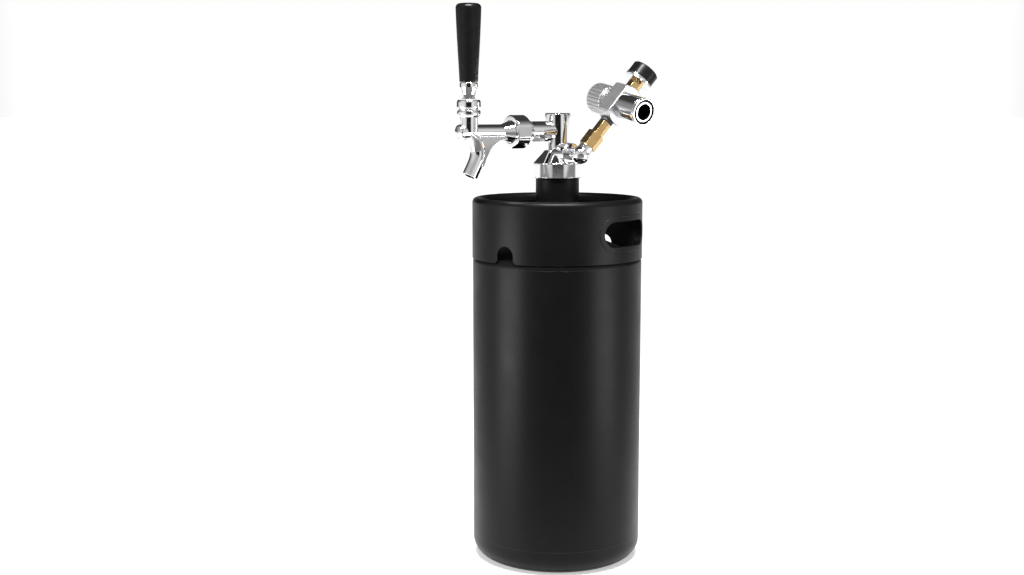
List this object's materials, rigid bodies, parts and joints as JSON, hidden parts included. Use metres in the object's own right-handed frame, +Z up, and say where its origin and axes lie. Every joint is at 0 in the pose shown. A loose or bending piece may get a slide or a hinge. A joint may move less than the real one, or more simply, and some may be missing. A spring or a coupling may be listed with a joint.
{
  "type": "beer keg",
  "caption": "Small black beer keg with a chrome tap head, lever faucet, gas regulator with gauge and open cartridge port.",
  "frame": {"origin": "keg axis at floor level", "axes": "+Z up; the faucet points along -X, the gas inlet points along -Y and its line climbs towards +X"},
  "size_m": [0.1962, 0.1691, 0.538],
  "materials": {
    "black_coat": "matte black powder coat on stainless steel",
    "chrome": "polished chrome plate",
    "steel": "plain turned stainless steel",
    "brass": "bright turned brass",
    "satin_grey": "satin grey metal",
    "rubber": "plain black rubber",
    "white_plastic": "plain white plastic",
    "black_handle": "smooth black plastic",
    "black_case": "black plastic",
    "clear_lens": "clear window",
    "dial_white": "white painted dial with no writing",
    "needle_black": "black painted needle"
  },
  "bodies": {
    "keg": {"base_cup": "black_coat", "body_tube": "black_coat", "top_dome": "black_coat", "neck_ring": "black_coat", "top_collar": "black_coat"},
    "tap_head": {"tap_body": "chrome", "head_flange": "steel", "cap_gasket": "rubber", "dip_tube": "steel", "dip_tube_seal": "rubber", "tap_shank": "chrome", "coupling_nut": "chrome", "coupling_washer": "rubber", "faucet_body": "chrome", "front_plug": "chrome", "ball_washer": "white_plastic", "bonnet_nut": "chrome", "gas_elbow": "chrome", "inlet_adapter": "brass", "check_spring": "steel", "outlet_nipple": "brass", "outlet_seal": "rubber", "regulator_body": "satin_grey", "adjusting_spring": "steel", "cartridge_port": "chrome", "piercing_pin": "steel", "cartridge_seal": "rubber", "valve_spring": "steel", "gauge_stem": "brass", "gauge_back": "steel", "gauge_case": "black_case", "gauge_bezel": "black_case", "gauge_lens": "clear_lens", "gauge_dial": "dial_white", "dial_posts": "steel", "bourdon_tube": "brass", "needle_spindle": "brass"},
    "cap": {"cap_nut": "chrome"},
    "handle": {"lever": "steel", "handle_ferrule": "chrome", "handle_insert": "brass", "tap_handle": "black_handle"},
    "shaft": {"faucet_shaft": "steel", "seat_washer": "rubber", "seat_nut": "steel"},
    "check_valve": {"check_poppet": "brass"},
    "piston_group": {"piston": "satin_grey", "piston_seal": "rubber"},
    "inlet_valve": {"valve_poppet": "brass"},
    "plate": {"spring_plate": "satin_grey"},
    "knob": {"adjusting_knob": "satin_grey"},
    "needle": {"gauge_needle": "needle_black"}
  },
  "joints": [
    {"name": "head_lift", "type": "slide", "parent": "keg", "child": "tap_head", "axis": [0, 0, 1], "range_m": [0, 0.009]},
    {"name": "cap_turn", "type": "hinge", "parent": "tap_head", "child": "cap", "pos_m": [0, 0, 0.382], "axis": [0, 0, 1], "range_deg": [0, 1081]},
    {"name": "lever_tilt", "type": "hinge", "parent": "tap_head", "child": "handle", "pos_m": [-0.1005, 0, 0.442], "axis": [0, -1, 0], "range_deg": [0, 18]},
    {"name": "shaft_travel", "type": "slide", "parent": "tap_head", "child": "shaft", "axis": [1, 0, 0], "range_m": [0, 0.007]},
    {"name": "check_travel", "type": "slide", "parent": "tap_head", "child": "check_valve", "axis": [-0.6331, 0.1323, -0.7627], "range_m": [0, 0.002], "stiffness_N_per_m": 40, "springref_m": -0.001},
    {"name": "piston_travel", "type": "slide", "parent": "tap_head", "child": "piston_group", "axis": [0.0322, -0.9799, -0.1966], "range_m": [0, 0.0005], "stiffness_N_per_m": 400, "springref_m": -0.0005},
    {"name": "valve_travel", "type": "slide", "parent": "tap_head", "child": "inlet_valve", "axis": [0.0322, -0.9799, -0.1966], "range_m": [0, 0.0005]},
    {"name": "knob_travel", "type": "slide", "parent": "tap_head", "child": "plate", "axis": [0.0322, -0.9799, -0.1966], "range_m": [0, 0.0025]},
    {"name": "knob_turn", "type": "hinge", "parent": "plate", "child": "knob", "pos_m": [0.0388, -0.02704, 0.44985], "axis": [0.0322, -0.9799, -0.1966], "range_deg": [0, 721]},
    {"name": "needle_turn", "type": "hinge", "parent": "tap_head", "child": "needle", "pos_m": [0.06331, -0.05163, 0.47467], "axis": [-0.6331, 0.1323, -0.7627], "range_deg": [0, 270], "stiffness_Nm_per_rad": 0.0001}
  ],
  "couplings": [
    {"joint": "cap_turn", "follows": "head_lift", "rad_per_m": 2094.4},
    {"joint": "shaft_travel", "follows": "lever_tilt", "m_per_rad": 0.022},
    {"joint": "valve_travel", "follows": "piston_travel", "ratio": 1},
    {"joint": "knob_turn", "follows": "knob_travel", "rad_per_m": 5026.5}
  ]
}
